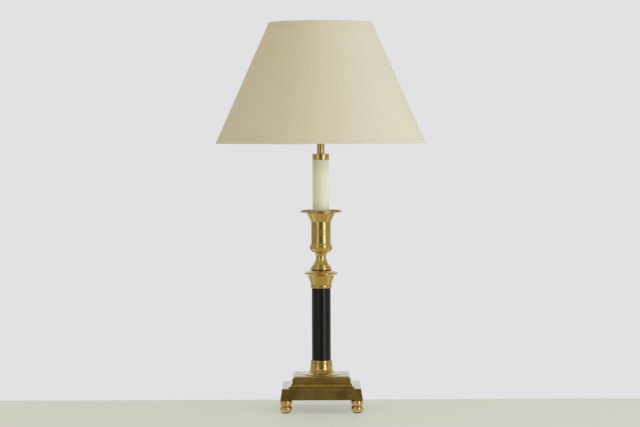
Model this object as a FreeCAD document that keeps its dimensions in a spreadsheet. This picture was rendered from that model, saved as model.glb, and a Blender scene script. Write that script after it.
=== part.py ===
import FreeCAD, Part
import math
import os
import Sketcher

# A candlestick table lamp. Millimetres, +Z up, front towards -Y.
# The origin is on the standing face, under the middle of the stem.

os.makedirs("parts", exist_ok=True)
doc = FreeCAD.newDocument("candlestick_lamp")

# ---------------------------------------------------------------- driving dimensions

SIZES = [
    # clearances
    ("bore_gap", 0.3, "round a rod, stud or spigot that a hole slips over"),
    ("seat_gap", 0.1, "round a piece that is pressed, screwed or glued in"),
    ("run_gap", 0.3, "between pieces that move past each other"),
    # turned feet
    ("foot_height", 22.8, "standing face to apron"),
    ("foot_spread", 121.2, "between foot centres"),
    ("foot_flat_radius", 5.0, "flat that the foot stands on"),
    ("foot_ball_radius", 10.6, "lower ball"),
    ("foot_ball_height", 12.7, "lower ball"),
    ("foot_groove_radius", 8.2, "neck between ball and bead"),
    ("foot_bead_radius", 10.0, "upper bead"),
    ("stud_radius", 2.5, "screw stud that joins foot and base"),
    ("stud_depth", 11.0, "how far the stud goes into the foot and into its boss"),
    ("boss_radius", 6.5, "cast boss over each foot"),
    # square base
    ("apron_height", 19.0, "lowest tier"),
    ("apron_foot_width", 140.0, "lowest tier at its bottom edge"),
    ("apron_top_width", 134.0, "lowest tier at its top edge"),
    ("step_height", 6.8, "middle tier"),
    ("step_foot_width", 112.0, "middle tier at its bottom"),
    ("step_top_width", 103.0, "middle tier at its top"),
    ("step_fillet", 1.5, "flat bands over and under the cove of the middle tier"),
    ("block_height", 9.1, "top tier"),
    ("block_width", 98.6, "top tier"),
    ("base_wall", 3.0, "casting wall"),
    ("edge_round", 0.8, "softened edges of the turned and cast pieces"),
    ("cover_thickness", 1.8, "board that closes the base from below"),
    ("cover_gap", 0.8, "round that board"),
    ("inlet_bore_radius", 3.6, "hole for the lead"),
    ("inlet_barrel_radius", 5.2, "bush in the wall"),
    ("inlet_flange_radius", 7.5, "bush outside the wall"),
    ("inlet_flange_thickness", 2.0, "bush outside the wall"),
    ("inlet_lip", 1.6, "snap lip of the bush inside the wall"),
    # tie rod and what it clamps in the base
    ("rod_radius", 5.0, "threaded tube through the stem"),
    ("rod_bore_radius", 3.6, "way for the wires"),
    ("rod_tail", 1.0, "rod end below its nut"),
    ("weight_width", 90.0, "iron weight"),
    ("weight_height", 12.0, "iron weight"),
    ("washer_radius", 18.0, "plain washer under the weight"),
    ("washer_thickness", 2.0, "plain washer under the weight"),
    ("lock_radius", 9.0, "split washer"),
    ("lock_thickness", 1.6, "split washer"),
    ("lock_split", 2.0, "gap in the split washer"),
    ("nut_width", 17.0, "rod nuts, across flats"),
    ("nut_height", 5.0, "rod nuts"),
    # plate and flare
    ("plate_width", 94.6, "square plate on the top tier"),
    ("plate_height", 3.0, "square plate on the top tier"),
    ("plate_round", 2.5, "rounding along its upper edges"),
    ("flare_height", 17.7, "plate to collar"),
    ("flare_neck_radius", 19.0, "flare at its top"),
    ("flare_curve", 12.0, "radius of its hollow side"),
    ("foot_ring_reach", 1.1, "ring outside the foot of the flare"),
    ("foot_ring_height", 1.0, "ring outside the foot of the flare"),
    ("collar_radius", 18.9, "brass collar under the column"),
    ("collar_height", 6.5, "brass collar under the column"),
    ("collar_groove", 1.1, "groove under the collar's band"),
    # column
    ("column_radius", 16.2, "black tube"),
    ("column_length", 124.3, "black tube"),
    ("column_wall", 1.5, "black tube"),
    ("spigot_length", 9.0, "spigots in the ends of the tubes"),
    # capital
    ("capital_height", 30.3, "column to bell"),
    ("capital_ring_radius", 18.7, "ring at the foot of the capital"),
    ("capital_ring_height", 5.8, "ring at the foot of the capital"),
    ("capital_neck_radius", 17.8, "over the ring"),
    ("capital_cup_radius", 23.5, "under the rim"),
    ("capital_cup_height", 15.6, "from the ring to the rim"),
    ("capital_rim_radius", 29.4, "widest part"),
    ("capital_rim_height", 2.4, "widest part"),
    # bell and knop
    ("bell_height", 46.2, "capital to candle socket"),
    ("bell_foot_radius", 17.4, "foot of the bell, without its bead"),
    ("bell_bead_height", 6.4, "bead round the foot of the bell"),
    ("bell_band_height", 2.1, "band over the bead"),
    ("bell_band_radius", 15.8, "band over the bead"),
    ("waist_radius", 8.7, "narrowest part"),
    ("waist_rise", 22.4, "from the bell's foot to the waist"),
    ("waist_length", 2.2, "straight part of the waist"),
    ("knop_neck_radius", 13.1, "cove under the knop"),
    ("knop_neck_rise", 30.9, "from the bell's foot to the knop"),
    ("knop_radius", 19.9, "widest part"),
    ("knop_rise", 39.0, "from the bell's foot to the widest part"),
    ("knop_rim", 2.6, "height of the widest part"),
    # candle socket, drip pan
    ("nozzle_radius", 17.3, "cylinder of the candle socket"),
    ("nozzle_height", 53.35, "candle socket"),
    ("nozzle_cylinder", 37.0, "straight part of the candle socket"),
    ("nozzle_lip_radius", 24.6, "top of its cup"),
    ("nozzle_lip", 1.6, "straight edge at the top of its cup"),
    ("nozzle_wall", 2.5, "wall of the candle socket"),
    ("line_depth", 0.45, "turned lines round the candle socket"),
    ("line_width", 1.2, "turned lines round the candle socket"),
    ("line_low", 16.7, "lower line over the foot of the socket"),
    ("line_high", 22.0, "upper line over the foot of the socket"),
    ("pan_radius", 35.8, "drip pan"),
    ("pan_thickness", 3.6, "drip pan at its rim"),
    ("pan_plate", 1.4, "drip pan at its floor"),
    ("pan_seat_radius", 16.5, "raised seat in the middle of the pan"),
    # candle
    ("candle_radius", 14.2, "ivory sleeve"),
    ("candle_length", 86.35, "ivory sleeve"),
    ("candle_wall", 1.5, "ivory sleeve"),
    ("seat_washer_thickness", 1.5, "washer that centres the sleeve"),
    ("cap_radius", 14.8, "brass cap on the sleeve"),
    ("cap_height", 10.5, "brass cap on the sleeve"),
    ("riser_radius", 6.5, "brass tube over the cap"),
    ("riser_length", 20.0, "brass tube over the cap"),
    # harp
    ("saddle_thickness", 1.6, "strap under the lampholder"),
    ("saddle_width", 12.7, "strap under the lampholder"),
    ("saddle_span", 66.4, "over the outsides of its tongues"),
    ("tongue_width", 5.0, "upturned ends of the strap"),
    ("tongue_height", 14.0, "upturned ends of the strap"),
    ("harp_height", 177.8, "strap to the seat of the shade, seven inches"),
    ("harp_width", 100.0, "between the middles of the wire"),
    ("harp_wire_radius", 1.6, "wire"),
    ("harp_curve", 94.2, "height of the side curves"),
    ("ferrule_length", 12.0, "sleeve that locks a leg to its tongue"),
    ("ferrule_wall", 0.8, "sleeve that locks a leg to its tongue"),
    ("block_radius", 6.0, "block at the top of the harp"),
    ("block_depth", 6.5, "block at the top of the harp"),
    ("wire_depth", 3.7, "middle of the wire below the top of the block"),
    ("harp_stud_radius", 3.17, "quarter inch thread"),
    ("harp_stud_length", 14.0, "above the block"),
    ("finial_height", 21.0, "finial"),
    ("finial_foot_radius", 7.5, "finial, without its rounded edge"),
    ("finial_foot_height", 1.6, "finial"),
    ("finial_neck_radius", 4.8, "under its ball"),
    ("finial_neck_height", 4.0, "under its ball"),
    ("finial_ball_radius", 6.4, "finial"),
    ("finial_ball_height", 12.0, "finial"),
    ("finial_tip_radius", 2.4, "tip over its ball"),
    # lampholder
    ("holder_radius", 17.0, "brass shell"),
    ("holder_wall", 0.6, "brass shell"),
    ("holder_length", 41.0, "brass shell"),
    ("holder_cap_height", 20.0, "lower cap"),
    ("holder_cap_wall", 0.8, "lower cap"),
    ("holder_hub_radius", 7.6, "hub that screws on the rod"),
    ("holder_hub_height", 5.5, "hub that screws on the rod"),
    ("holder_overlap", 4.0, "shell inside the lower cap"),
    ("liner_wall", 0.5, "paper sleeve in the shell"),
    ("insulator_radius", 15.5, "moulded body of the switch"),
    ("insulator_height", 23.0, "moulded body of the switch"),
    ("insulator_lift", 12.9, "from the foot of the cap to the moulded body"),
    ("terminal_flat", 12.4, "from the axis to the flats that carry the screws"),
    ("terminal_radius", 3.2, "screw heads"),
    ("terminal_head", 2.0, "screw heads"),
    ("screw_shell_radius", 14.0, "threaded sleeve, outside"),
    ("screw_shell_wall", 0.5, "threaded sleeve"),
    ("screw_shell_height", 20.0, "threaded sleeve"),
    ("contact_length", 13.0, "centre contact"),
    ("contact_width", 5.0, "centre contact"),
    ("contact_thickness", 1.0, "centre contact"),
    ("switch_rise", 25.0, "switch shaft over the foot of the cap"),
    ("switch_shaft_radius", 2.0, "switch shaft"),
    ("switch_reach", 34.0, "from the axis to the end of the knob"),
    ("switch_knob_radius", 5.6, "knob"),
    ("switch_knob_length", 13.0, "knob"),
    ("switch_flute_radius", 1.0, "grooves round the knob"),
    ("set_screw_radius", 1.6, "locks the cap on the rod"),
    # bulb
    ("thread_radius", 13.1, "screw base, over its thread"),
    ("thread_pitch", 3.6, "screw base"),
    ("thread_depth", 0.8, "screw base"),
    ("bulb_cap_height", 19.0, "screw base"),
    ("bulb_foot_height", 4.6, "black foot of the screw base"),
    ("bulb_tip_radius", 4.6, "end contact"),
    ("bulb_tip_height", 1.6, "end contact"),
    ("bulb_radius", 30.0, "glass"),
    ("bulb_glass_height", 84.0, "glass over the screw base"),
    ("glass_wall", 0.9, "glass"),
    ("stem_radius", 4.5, "glass stem inside the bulb"),
    ("stem_height", 40.0, "glass stem inside the bulb"),
    # shade
    ("shade_top_radius", 88.4, "fabric at the top, seven inches across"),
    ("shade_bottom_radius", 180.0, "fabric at the bottom, fourteen inches across"),
    ("shade_height", 206.6, "edge to edge"),
    ("shade_drop", 25.2, "top edge to the seat on the harp"),
    ("fabric_thickness", 0.6, "outer fabric"),
    ("backing_thickness", 0.9, "stiff white backing"),
    ("trim_thickness", 0.5, "edging tape"),
    ("trim_width", 6.5, "edging tape"),
    ("ring_wire_radius", 1.6, "wire rings in the shade"),
    ("arm_wire_radius", 1.5, "arms of the fitter"),
    ("arm_bend", 9.0, "bend where the arms turn up"),
    ("hub_radius", 10.0, "washer in the middle of the fitter"),
    ("hub_thickness", 1.2, "washer in the middle of the fitter"),
]

QUARTER = math.tan(math.pi / 8)   # bulge of a quarter circle
HALF = 1.0                        # bulge of a half circle
FLUTES = 12                       # grooves round the switch knob
ARMS = 3                          # arms of the shade's fitter
THREAD_TURNS = 4                  # ridges of the bulb's screw base

sheet = doc.addObject("Spreadsheet::Sheet", "Sizes")
for row, (alias, number, note) in enumerate(SIZES, start=1):
    sheet.set(f"A{row}", alias)
    sheet.set(f"B{row}", str(number))
    sheet.set(f"C{row}", note)
    sheet.setAlias(f"B{row}", alias)
doc.recompute()


class Size:
    """A length: its number, and the same as an expression over the sheet."""

    def __init__(self, number, text):
        self.number = number
        self.text = text

    def __add__(self, other):
        other = as_size(other)
        return Size(self.number + other.number, f"({self.text} + {other.text})")

    def __sub__(self, other):
        other = as_size(other)
        return Size(self.number - other.number, f"({self.text} - {other.text})")

    def __mul__(self, other):
        other = as_size(other)
        return Size(self.number * other.number, f"({self.text} * {other.text})")

    def __truediv__(self, other):
        other = as_size(other)
        return Size(self.number / other.number, f"({self.text} / {other.text})")

    def __neg__(self):
        return Size(-self.number, f"(0 - {self.text})")

    def root(self):
        return Size(math.sqrt(self.number), f"sqrt({self.text})")


def as_size(value):
    if isinstance(value, Size):
        return value
    return Size(float(value), f"{float(value):.9g}")


class Sheet:
    """Reads the sheet's cells by name, as sizes."""

    def __getattr__(self, alias):
        return Size(float(sheet.get(alias)), f"Sizes.{alias}")


d = Sheet()


# ---------------------------------------------------------------- how pieces are made

nodes = []


def bind(thing, **sizes):
    """Tie properties of an object to expressions over the sheet."""
    for prop, size in sizes.items():
        thing.setExpression(prop, as_size(size).text)


def put(thing, x=0, y=0, z=0):
    """Tie an object's place to the sheet."""
    for letter, size in (("x", x), ("y", y), ("z", z)):
        thing.setExpression(f"Placement.Base.{letter}", as_size(size).text)


def keep(thing):
    """Make an object one of the lamp's pieces. Its name is the piece's name."""
    nodes.append(thing)
    return thing


def part(kind, name, **sizes):
    thing = doc.addObject(f"Part::{kind}", name)
    bind(thing, **sizes)
    return thing


def cut(name, solid, *tools):
    """Solid less the tools."""
    for number, tool in enumerate(tools, start=1):
        last = number == len(tools)
        step = doc.addObject("Part::Cut", name if last else f"{name}_less_{number}")
        step.Base = solid
        step.Tool = tool
        solid = step
    return solid


def joined(name, *solids):
    step = doc.addObject("Part::MultiFuse", name)
    step.Shapes = list(solids)
    return step


def pin_point(sketch, geometry, spot, x, y):
    """Hold one point of a sketch at sizes from the origin."""
    for kind, axis, size in (("DistanceX", -2, x), ("DistanceY", -1, y)):
        if size is None:
            continue
        size = as_size(size)
        if size.text == "0":
            sketch.addConstraint(Sketcher.Constraint("PointOnObject", geometry, spot, axis))
            continue
        rule = Sketcher.Constraint(kind, -1, 1, geometry, spot, size.number)
        sketch.setExpression(f"Constraints[{sketch.addConstraint(rule)}]", size.text)


def arc_between(start, end, bulge):
    """Arc from start to end. The bulge is the tangent of a quarter of its angle, and is
    positive where the arc turns to the left. Returns the arc and its middle's sizes."""
    bulge = as_size(bulge)
    run = end[0] - start[0]
    rise = end[1] - start[1]
    lean = (as_size(1) - bulge * bulge) / (bulge * 4)
    middle = ((start[0] + end[0]) / 2 - rise * lean, (start[1] + end[1]) / 2 + run * lean)
    centre = FreeCAD.Vector(middle[0].number, middle[1].number, 0)
    first = FreeCAD.Vector(start[0].number, start[1].number, 0) - centre
    last = FreeCAD.Vector(end[0].number, end[1].number, 0) - centre
    if bulge.number < 0:
        first, last = last, first
    circle = Part.Circle(centre, FreeCAD.Vector(0, 0, 1), first.Length)
    angles = (math.atan2(first.y, first.x), math.atan2(last.y, last.x))
    return Part.ArcOfCircle(circle, *angles), middle


def dome(radius, rise):
    """Bulge of the arc from the rim of a round cap to its middle on the axis."""
    return ((radius * radius + rise * rise).root() - radius) / rise


def draw(sketch, points, closed=True):
    """Draw lines and arcs through points (x, y) or (x, y, bulge of the way there)."""
    corners = [(as_size(point[0]), as_size(point[1])) for point in points]
    legs = []
    for number in range(len(points) if closed else len(points) - 1):
        goal = (number + 1) % len(points)
        start, end = corners[number], corners[goal]
        if len(points[goal]) == 2:
            line = Part.LineSegment(FreeCAD.Vector(start[0].number, start[1].number, 0),
                                    FreeCAD.Vector(end[0].number, end[1].number, 0))
            legs.append((sketch.addGeometry(line), 1, 2))
            continue
        bulge = as_size(points[goal][2])
        arc, middle = arc_between(start, end, bulge)
        leg = sketch.addGeometry(arc)
        legs.append((leg, 1, 2) if bulge.number > 0 else (leg, 2, 1))
        steep = abs(end[1].number - start[1].number) >= abs(end[0].number - start[0].number)
        pin_point(sketch, leg, 3, middle[0] if steep else None, None if steep else middle[1])
    for number, (leg, first, last) in enumerate(legs):
        pin_point(sketch, leg, first, *corners[number])
        if closed or number < len(legs) - 1:
            follower, spot, _ = legs[(number + 1) % len(legs)]
            sketch.addConstraint(Sketcher.Constraint("Coincident", leg, last, follower, spot))
    if not closed:
        pin_point(sketch, legs[-1][0], legs[-1][2], *corners[-1])
    return sketch


def plane_sketch(body, name, plane):
    """Empty sketch on one of the body's own origin planes."""
    sketch = body.newObject("Sketcher::SketchObject", name)
    face = next(item for item in body.Origin.OriginFeatures if item.Role == plane)
    sketch.AttachmentSupport = [(face, "")]
    sketch.MapMode = "FlatFace"
    return sketch


def turn(body, name, *outlines):
    """Turn outlines of (radius, height) round the body's own axis."""
    sketch = plane_sketch(body, f"{name}_outline", "XZ_Plane")
    for outline in outlines:
        draw(sketch, outline)
    spin = body.newObject("PartDesign::Revolution", f"{name}_turning")
    spin.Profile = sketch
    spin.ReferenceAxis = (sketch, ["V_Axis"])
    spin.Angle = 360
    sketch.Visibility = False
    return spin


def turned(name, *outlines):
    body = doc.addObject("PartDesign::Body", name)
    turn(body, name, *outlines)
    return body


def ring_outline(inner, outer, bottom, top):
    return [(inner, bottom), (outer, bottom), (outer, top), (inner, top)]


def circle_sketch(body, name, plane, x, y, radius):
    sketch = plane_sketch(body, name, plane)
    x, y, radius = as_size(x), as_size(y), as_size(radius)
    middle = FreeCAD.Vector(x.number, y.number, 0)
    hoop = sketch.addGeometry(Part.Circle(middle, FreeCAD.Vector(0, 0, 1), radius.number))
    pin_point(sketch, hoop, 3, x, y)
    rule = sketch.addConstraint(Sketcher.Constraint("Radius", hoop, radius.number))
    sketch.setExpression(f"Constraints[{rule}]", radius.text)
    return sketch


def square_moulding(name, half_outline):
    """Solid of square plan whose four sides have one outline of (half width, height)."""
    outline = list(half_outline)
    for number in range(len(half_outline) - 1, -1, -1):
        spot = half_outline[number]
        bulge = half_outline[number + 1][2:] if number + 1 < len(half_outline) else ()
        outline.append((-as_size(spot[0]), spot[1]) + tuple(bulge))
    sides = []
    for side, angle in (("front", 0), ("side", 90)):
        sketch = doc.addObject("Sketcher::SketchObject", f"{name}_{side}_outline")
        about_z = FreeCAD.Rotation(FreeCAD.Vector(0, 0, 1), angle)
        about_x = FreeCAD.Rotation(FreeCAD.Vector(1, 0, 0), 90)
        sketch.Placement.Rotation = about_z.multiply(about_x)
        draw(sketch, outline)
        slab = part("Extrusion", f"{name}_{side}", LengthFwd=as_size(half_outline[0][0]) * 2)
        slab.Base = sketch
        slab.DirMode = "Normal"
        slab.Symmetric = True
        slab.Solid = True
        sides.append(slab)
    both = doc.addObject("Part::MultiCommon", name)
    both.Shapes = sides
    return both


def hex_nut(name, bottom):
    """Nut on the tie rod."""
    corner_radius = d.nut_width / as_size(3).root()
    blank = part("Prism", f"{name}_blank", Circumradius=corner_radius, Height=d.nut_height)
    blank.Polygon = 6
    put(blank, z=bottom)
    hole = part("Cylinder", f"{name}_hole", Radius=d.rod_radius + d.seat_gap, Height=d.nut_height)
    put(hole, z=bottom)
    return keep(cut(name, blank, hole))


# ---------------------------------------------------------------- levels up the stem

z_apron = d.foot_height
z_step = z_apron + d.apron_height
z_block = z_step + d.step_height
z_plate = z_block + d.block_height
z_flare = z_plate + d.plate_height
z_collar = z_flare + d.flare_height
z_column = z_collar + d.collar_height
z_capital = z_column + d.column_length
z_bell = z_capital + d.capital_height
z_nozzle = z_bell + d.bell_height
z_pan = z_nozzle + d.nozzle_height
z_candle = z_pan + d.pan_thickness
z_cap = z_candle + d.candle_length
z_riser = z_cap + d.cap_height
z_saddle = z_riser + d.riser_length
z_holder = z_saddle + d.saddle_thickness
z_seat = z_holder + d.harp_height
z_shade_top = z_seat + d.shade_drop
z_shade_bottom = z_shade_top - d.shade_height

bore = d.rod_radius + d.bore_gap
column_bore = d.column_radius - d.column_wall
column_spigot = column_bore - d.seat_gap
candle_bore = d.candle_radius - d.candle_wall

# ---------------------------------------------------------------- feet

foot_place = d.foot_spread / 2
groove_half = d.edge_round / 2
groove_z = d.foot_ball_height
foot_top_radius = d.foot_bead_radius - d.edge_round * 2


def make_foot(name, side_x, side_y):
    """Turned foot: a ball with a flat under it, a groove and a flatter bead."""
    hole = d.stud_radius + d.seat_gap
    hole_z = z_apron - d.stud_depth
    foot = turned(name, [
        (0, 0),
        (d.foot_flat_radius, 0),
        (d.foot_ball_radius, groove_z / 2, 0.3),
        (d.foot_groove_radius, groove_z - groove_half, 0.3),
        (d.foot_groove_radius, groove_z + groove_half),
        (d.foot_bead_radius, (groove_z + z_apron) / 2, 0.3),
        (foot_top_radius, z_apron, 0.3),
        (hole, z_apron),
        (hole, hole_z),
        (0, hole_z),
    ])
    put(foot, x=foot_place * side_x, y=foot_place * side_y)
    return keep(foot)


for corner, side_x, side_y in (("front_left", -1, -1), ("front_right", 1, -1),
                               ("rear_left", -1, 1), ("rear_right", 1, 1)):
    make_foot(f"foot_{corner}", side_x, side_y)


def at_feet(name, radius, bottom, height):
    """Four upright cylinders, one over each foot."""
    posts = []
    for number, (side_x, side_y) in enumerate(((-1, -1), (1, -1), (-1, 1), (1, 1)), start=1):
        post = part("Cylinder", f"{name}_{number}", Radius=radius, Height=height)
        put(post, x=foot_place * side_x, y=foot_place * side_y, z=bottom)
        posts.append(post)
    return posts


z_boss = z_apron + d.cover_thickness
stud_bottom = z_apron - d.stud_depth + d.seat_gap
stud_top = z_boss + d.stud_depth - d.seat_gap
foot_studs = doc.addObject("Part::Compound", "foot_studs")
foot_studs.Links = at_feet("foot_stud", d.stud_radius, stud_bottom, stud_top - stud_bottom)
keep(foot_studs)

# ---------------------------------------------------------------- square base

apron_foot = d.apron_foot_width / 2
apron_top = d.apron_top_width / 2
step_foot = d.step_foot_width / 2
step_top = d.step_top_width / 2
block_half = d.block_width / 2

base_outside = square_moulding("base_outside", [
    (apron_foot, z_apron),
    (apron_top, z_step - d.edge_round),
    (apron_top - d.edge_round, z_step, QUARTER),
    (step_foot, z_step),
    (step_foot, z_step + d.step_fillet),
    (step_top, z_block - d.step_fillet, -0.25),
    (step_top, z_block),
    (block_half, z_block),
    (block_half, z_plate - d.edge_round),
    (block_half - d.edge_round, z_plate, QUARTER),
])
roof_z = z_plate - d.base_wall
deck_z = z_step - d.base_wall
apron_lean = apron_foot - apron_top
room_lean = apron_lean * (deck_z - z_apron) / d.apron_height
base_lower_room = square_moulding("base_lower_room", [
    (apron_foot - d.base_wall, z_apron),
    (apron_foot - d.base_wall - room_lean, deck_z),
])
base_upper_room = part("Box", "base_upper_room", Length=(block_half - d.base_wall) * 2,
                       Width=(block_half - d.base_wall) * 2, Height=roof_z - z_step + d.base_wall)
put(base_upper_room, x=d.base_wall - block_half, y=d.base_wall - block_half, z=deck_z)
bosses = at_feet("foot_boss", d.boss_radius, z_boss, deck_z - z_boss + d.base_wall / 2)
stud_holes = at_feet("stud_hole", d.stud_radius + d.seat_gap, z_apron, z_boss - z_apron + d.stud_depth)
rod_hole = part("Cylinder", "base_rod_hole", Radius=bore, Height=d.base_wall * 3)
put(rod_hole, z=roof_z - d.base_wall)

# The inlet for the lead is square to the sloping rear face of the apron.
inlet_z = z_apron + d.apron_height / 2
inlet_y = (apron_foot + apron_top) / 2
apron_slope = math.degrees(math.atan2(apron_lean.number, d.apron_height.number))
inlet_turn = FreeCAD.Rotation(FreeCAD.Vector(1, 0, 0), apron_slope - 90)
inlet_barrel = d.inlet_barrel_radius
inlet_hole = part("Cylinder", "inlet_hole", Radius=inlet_barrel + d.seat_gap, Height=d.base_wall * 4)
inlet_hole.Placement.Rotation = inlet_turn
slope_run = (apron_lean * apron_lean + d.apron_height * d.apron_height).root()
put(inlet_hole, y=inlet_y - d.base_wall * 2 * d.apron_height / slope_run,
    z=inlet_z - d.base_wall * 2 * apron_lean / slope_run)

base_hollow = cut("base_hollow", base_outside, base_lower_room, base_upper_room)
base_full = joined("base_full", base_hollow, *bosses)
keep(cut("base_casting", base_full, *stud_holes, rod_hole, inlet_hole))

lip_start = -(d.base_wall + d.seat_gap)
cord_bushing = turned("cord_bushing", [
    (d.inlet_bore_radius, lip_start - d.inlet_lip),
    (inlet_barrel, lip_start - d.inlet_lip),
    (inlet_barrel + d.inlet_lip / 2, lip_start),
    (inlet_barrel, lip_start),
    (inlet_barrel, 0),
    (d.inlet_flange_radius, 0),
    (d.inlet_flange_radius, d.inlet_flange_thickness / 2),
    (d.inlet_flange_radius - d.inlet_flange_thickness / 2, d.inlet_flange_thickness, QUARTER),
    (d.inlet_bore_radius, d.inlet_flange_thickness),
])
cord_bushing.Placement.Rotation = inlet_turn
put(cord_bushing, y=inlet_y, z=inlet_z)
keep(cord_bushing)

cover_half = apron_foot - d.base_wall - d.cover_gap
cover_blank = part("Box", "cover_blank", Length=cover_half * 2, Width=cover_half * 2,
                   Height=d.cover_thickness)
put(cover_blank, x=-cover_half, y=-cover_half, z=z_apron)
cover_holes = at_feet("cover_hole", d.stud_radius + d.bore_gap, z_apron, d.cover_thickness)
keep(cut("bottom_cover", cover_blank, *cover_holes))

# ---------------------------------------------------------------- weight, washers and nut

weight_z = roof_z - d.weight_height
washer_z = weight_z - d.washer_thickness
lock_z = washer_z - d.lock_thickness
rod_nut_z = lock_z - d.nut_height

weight_blank = part("Box", "weight_blank", Length=d.weight_width, Width=d.weight_width,
                    Height=d.weight_height)
put(weight_blank, x=-d.weight_width / 2, y=-d.weight_width / 2, z=weight_z)
weight_hole = part("Cylinder", "weight_hole", Radius=bore, Height=d.weight_height)
put(weight_hole, z=weight_z)
keep(cut("base_weight", weight_blank, weight_hole))

keep(turned("weight_washer", ring_outline(bore, d.washer_radius, washer_z, weight_z)))

lock_ring = turned("lock_ring", ring_outline(bore, d.lock_radius, lock_z, washer_z))
lock_gap = part("Box", "lock_gap", Length=d.lock_radius * 2, Width=d.lock_split,
                Height=d.lock_thickness)
put(lock_gap, y=-d.lock_split / 2, z=lock_z)
keep(cut("lock_washer", lock_ring, lock_gap))

hex_nut("rod_nut", rod_nut_z)

rod_bottom = rod_nut_z - d.rod_tail
rod_top = z_holder + d.holder_hub_height - d.seat_gap
keep(turned("tie_rod", ring_outline(d.rod_bore_radius, d.rod_radius, rod_bottom, rod_top)))

# ---------------------------------------------------------------- plate, flare, collar, column

plate_half = d.plate_width / 2
plate_blank = square_moulding("plate_blank", [
    (plate_half, z_plate),
    (plate_half, z_flare - d.plate_round),
    (plate_half - d.plate_round, z_flare, QUARTER),
])
plate_hole = part("Cylinder", "plate_hole", Radius=bore, Height=d.plate_height)
put(plate_hole, z=z_plate)
keep(cut("base_plate", plate_blank, plate_hole))

foot_ring_top = z_flare + d.foot_ring_height
flare_foot_radius = d.flare_neck_radius + d.flare_curve
foot_ring_radius = flare_foot_radius + d.foot_ring_reach
keep(turned("base_flare", [
    (bore, z_flare),
    (foot_ring_radius, z_flare),
    (foot_ring_radius, foot_ring_top - d.edge_round),
    (foot_ring_radius - d.edge_round, foot_ring_top, QUARTER),
    (flare_foot_radius, foot_ring_top),
    (d.flare_neck_radius, foot_ring_top + d.flare_curve, -QUARTER),
    (d.flare_neck_radius, z_collar),
    (column_spigot, z_collar),
    (column_spigot, z_column + d.spigot_length),
    (bore, z_column + d.spigot_length),
]))

keep(turned("column_collar", [
    (column_spigot + d.seat_gap, z_collar),
    (d.collar_radius - d.edge_round, z_collar),
    (d.collar_radius - d.edge_round, z_collar + d.collar_groove),
    (d.collar_radius, z_collar + d.collar_groove * 2, -QUARTER),
    (d.collar_radius, z_column - d.edge_round),
    (d.collar_radius - d.edge_round, z_column, QUARTER),
    (column_spigot + d.seat_gap, z_column),
]))

keep(turned("column_tube", ring_outline(column_bore, d.column_radius, z_column, z_capital)))

# ---------------------------------------------------------------- capital

ring_top = z_capital + d.capital_ring_height
cup_top = ring_top + d.capital_cup_height
rim_bottom = cup_top + d.edge_round * 3
rim_top = rim_bottom + d.capital_rim_height
keep(turned("capital", [
    (bore, z_capital - d.spigot_length),
    (column_spigot, z_capital - d.spigot_length),
    (column_spigot, z_capital),
    (d.capital_ring_radius - d.edge_round, z_capital),
    (d.capital_ring_radius - d.edge_round, ring_top, 0.3),
    (d.capital_neck_radius, ring_top),
    (d.capital_cup_radius, cup_top, -0.03),
    (d.capital_rim_radius - d.edge_round, rim_bottom, -0.15),
    (d.capital_rim_radius - d.edge_round, rim_top, 0.7),
    (d.bell_foot_radius + d.edge_round * 2, z_bell, 0.1),
    (bore, z_bell),
]))

# ---------------------------------------------------------------- bell, waist and knop

bead_top = z_bell + d.bell_bead_height
band_top = bead_top + d.bell_band_height
waist_z = z_bell + d.waist_rise
waist_top = waist_z + d.waist_length
cove_top = z_bell + d.knop_neck_rise
knop_z = z_bell + d.knop_rise
knop_top = knop_z + d.knop_rim
keep(turned("bell_knop", [
    (bore, z_bell),
    (d.bell_foot_radius, z_bell),
    (d.bell_foot_radius - d.edge_round / 2, bead_top, 0.34),
    (d.bell_band_radius, bead_top),
    (d.bell_band_radius - d.edge_round / 2, band_top),
    (d.waist_radius, waist_z, -0.16),
    (d.waist_radius, waist_top),
    (d.knop_neck_radius, cove_top, -0.2),
    (d.knop_neck_radius + d.edge_round * 2, cove_top),
    (d.knop_radius, knop_z, 0.24),
    (d.knop_radius - d.edge_round, knop_top, 0.4),
    (d.nozzle_radius, z_nozzle, 0.2),
    (bore, z_nozzle),
]))

# ---------------------------------------------------------------- candle socket and drip pan


def line_round(radius, height):
    """Corners of a turned line, from below to above."""
    return [(radius, height - d.line_width / 2),
            (radius - d.line_depth, height),
            (radius, height + d.line_width / 2)]


nozzle_cup = z_nozzle + d.nozzle_cylinder
nozzle_bore = d.nozzle_radius - d.nozzle_wall
nozzle_inside = d.nozzle_lip_radius - d.nozzle_wall
keep(turned("candle_socket", [
    (bore, z_nozzle),
    (d.nozzle_radius, z_nozzle),
    *line_round(d.nozzle_radius, z_nozzle + d.line_low),
    *line_round(d.nozzle_radius, z_nozzle + d.line_high),
    (d.nozzle_radius, nozzle_cup),
    (d.nozzle_lip_radius, z_pan - d.nozzle_lip),
    (d.nozzle_lip_radius, z_pan),
    (nozzle_inside, z_pan),
    (nozzle_inside, z_pan - d.nozzle_lip),
    (nozzle_bore, nozzle_cup + d.nozzle_wall),
    (nozzle_bore, z_nozzle + d.nozzle_wall),
    (bore, z_nozzle + d.nozzle_wall),
]))

pan_floor = z_pan + d.pan_plate
keep(turned("drip_pan", [
    (bore, z_pan),
    (d.pan_radius - d.pan_plate, z_pan),
    (d.pan_radius, z_pan + d.pan_thickness / 2, QUARTER),
    (d.pan_radius - d.pan_plate / 2, z_candle, QUARTER),
    (d.pan_radius - d.pan_plate, z_candle),
    (d.pan_radius - d.pan_plate * 2, pan_floor, -0.2),
    (d.pan_seat_radius + d.pan_plate, pan_floor),
    (d.pan_seat_radius, z_candle, -0.2),
    (bore, z_candle),
]))

# ---------------------------------------------------------------- candle, cap and riser

keep(turned("candle_sleeve", ring_outline(candle_bore, d.candle_radius, z_candle, z_cap)))

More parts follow.
